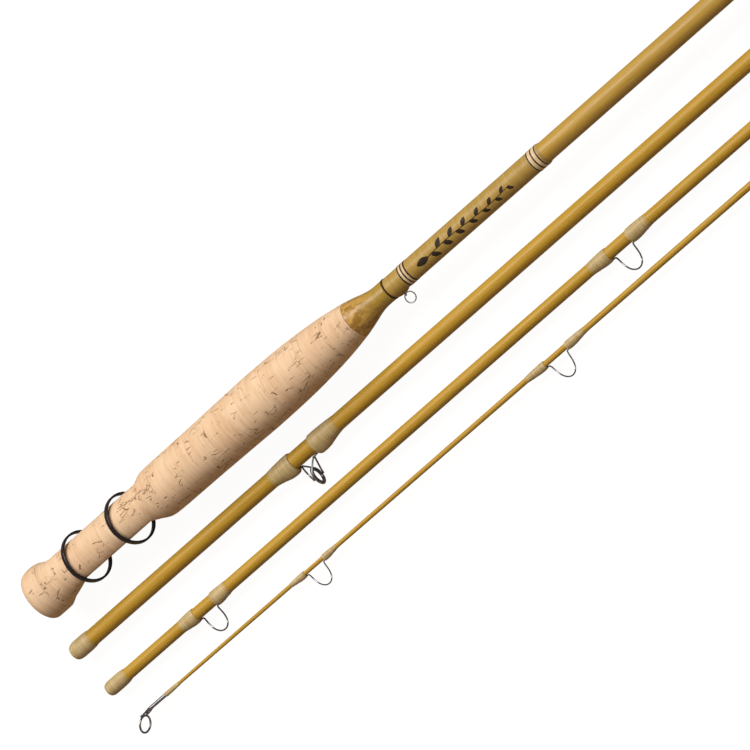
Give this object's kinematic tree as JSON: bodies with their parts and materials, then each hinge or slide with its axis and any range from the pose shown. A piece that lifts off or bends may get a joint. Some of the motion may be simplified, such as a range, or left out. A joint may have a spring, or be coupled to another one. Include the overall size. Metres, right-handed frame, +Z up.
{
  "type": "fly rod",
  "caption": "Seven-foot glass fly rod taken down into its sections laid side by side, with cork handle, sliding reel bands, hook keeper and line guides.",
  "frame": {"origin": "centre of the butt section's flat end face, on that section's axis", "axes": "+X along the rod from the butt end, +Y across, away from the side that the line guides are on, +Z up from the surface that the sections lie on"},
  "size_m": [0.5788, 0.0972, 0.0272],
  "materials": {
    "cork": "natural cork, sanded, satin",
    "lacquered_cork": "amber epoxy varnish over thread, glossy",
    "gold_thread": "honey-gold thread under clear epoxy, glossy",
    "cream_thread": "cream thread under clear epoxy, semi-gloss",
    "dark_thread": "dark thread under clear epoxy",
    "gold_blank": "honey-coloured glass fibre tube, glossy",
    "black_metal": "black anodised band",
    "guide_wire": "polished steel wire",
    "guide_insert": "dark polished ceramic",
    "spigot_glass": "ground glass fibre, satin"
  },
  "bodies": {
    "butt_section": {"cork_ring_01": "cork", "cork_ring_02": "cork", "cork_ring_03": "cork", "cork_ring_04": "cork", "cork_ring_05": "cork", "cork_ring_06": "cork", "cork_ring_07": "cork", "cork_ring_08": "cork", "cork_ring_09": "cork", "cork_ring_10": "cork", "cork_ring_11": "cork", "cork_ring_12": "cork", "cork_ring_13": "cork", "cork_ring_14": "cork", "cork_ring_15": "cork", "cork_ring_16": "cork", "cork_ring_17": "cork", "nose_cork": "cork", "nose_wrap": "lacquered_cork", "nose_thread": "dark_thread", "keeper_wrap": "gold_thread", "keeper_eye": "guide_wire", "trim_band_lower": "cream_thread", "long_wrap": "gold_thread", "trim_band_upper": "cream_thread", "butt_blank": "gold_blank", "butt_spigot": "spigot_glass"},
    "rear_band": {"rear_reel_band": "black_metal"},
    "front_band": {"front_reel_band": "black_metal"},
    "hook_keeper": {"hook_keeper_ring": "guide_wire"},
    "second_section": {"second_socket": "gold_blank", "second_blank": "gold_blank", "second_ferrule_wrap": "cream_thread", "stripping_frame_ring": "guide_wire", "stripping_ring_insert": "guide_insert", "stripping_rear_brace": "guide_wire", "stripping_front_brace": "guide_wire", "stripping_rear_wrap": "cream_thread", "stripping_front_wrap": "cream_thread", "second_spigot": "spigot_glass"},
    "third_section": {"third_blank": "gold_blank", "third_ferrule_wrap": "cream_thread", "third_guide_a": "guide_wire", "third_guide_a_rear_wrap": "cream_thread", "third_guide_a_front_wrap": "cream_thread", "third_guide_b": "guide_wire", "third_guide_b_rear_wrap": "cream_thread", "third_guide_b_front_wrap": "cream_thread", "third_spigot": "spigot_glass"},
    "tip_section": {"tip_blank": "gold_blank", "tip_ferrule_wrap": "cream_thread", "tip_guide_a": "guide_wire", "tip_guide_a_rear_wrap": "cream_thread", "tip_guide_a_front_wrap": "cream_thread", "tip_guide_b": "guide_wire", "tip_guide_b_rear_wrap": "cream_thread", "tip_guide_b_front_wrap": "cream_thread", "tip_top_tube": "guide_wire", "tip_top_loop": "guide_wire", "tip_top_wrap": "cream_thread"}
  },
  "joints": [
    {"name": "rear_band_slide", "type": "slide", "parent": "butt_section", "child": "rear_band", "axis": [1, 0, 0], "range_m": [-0.0095, 0.013]},
    {"name": "front_band_slide", "type": "slide", "parent": "butt_section", "child": "front_band", "axis": [1, 0, 0], "range_m": [-0.012, 0.006]},
    {"name": "keeper_flip", "type": "hinge", "parent": "butt_section", "child": "hook_keeper", "pos_m": [0.2412, -0.00643, 0], "axis": [1, 0, 0], "range_deg": [-85, 85]},
    {"name": "second_section_draw", "type": "slide", "parent": "butt_section", "child": "second_section", "axis": [1, 0, 0], "range_m": [-0.06, 0.2]},
    {"name": "third_section_draw", "type": "slide", "parent": "butt_section", "child": "third_section", "axis": [1, 0, 0], "range_m": [-0.06, 0.2]},
    {"name": "tip_section_draw", "type": "slide", "parent": "butt_section", "child": "tip_section", "axis": [1, 0, 0], "range_m": [-0.06, 0.2]}
  ]
}
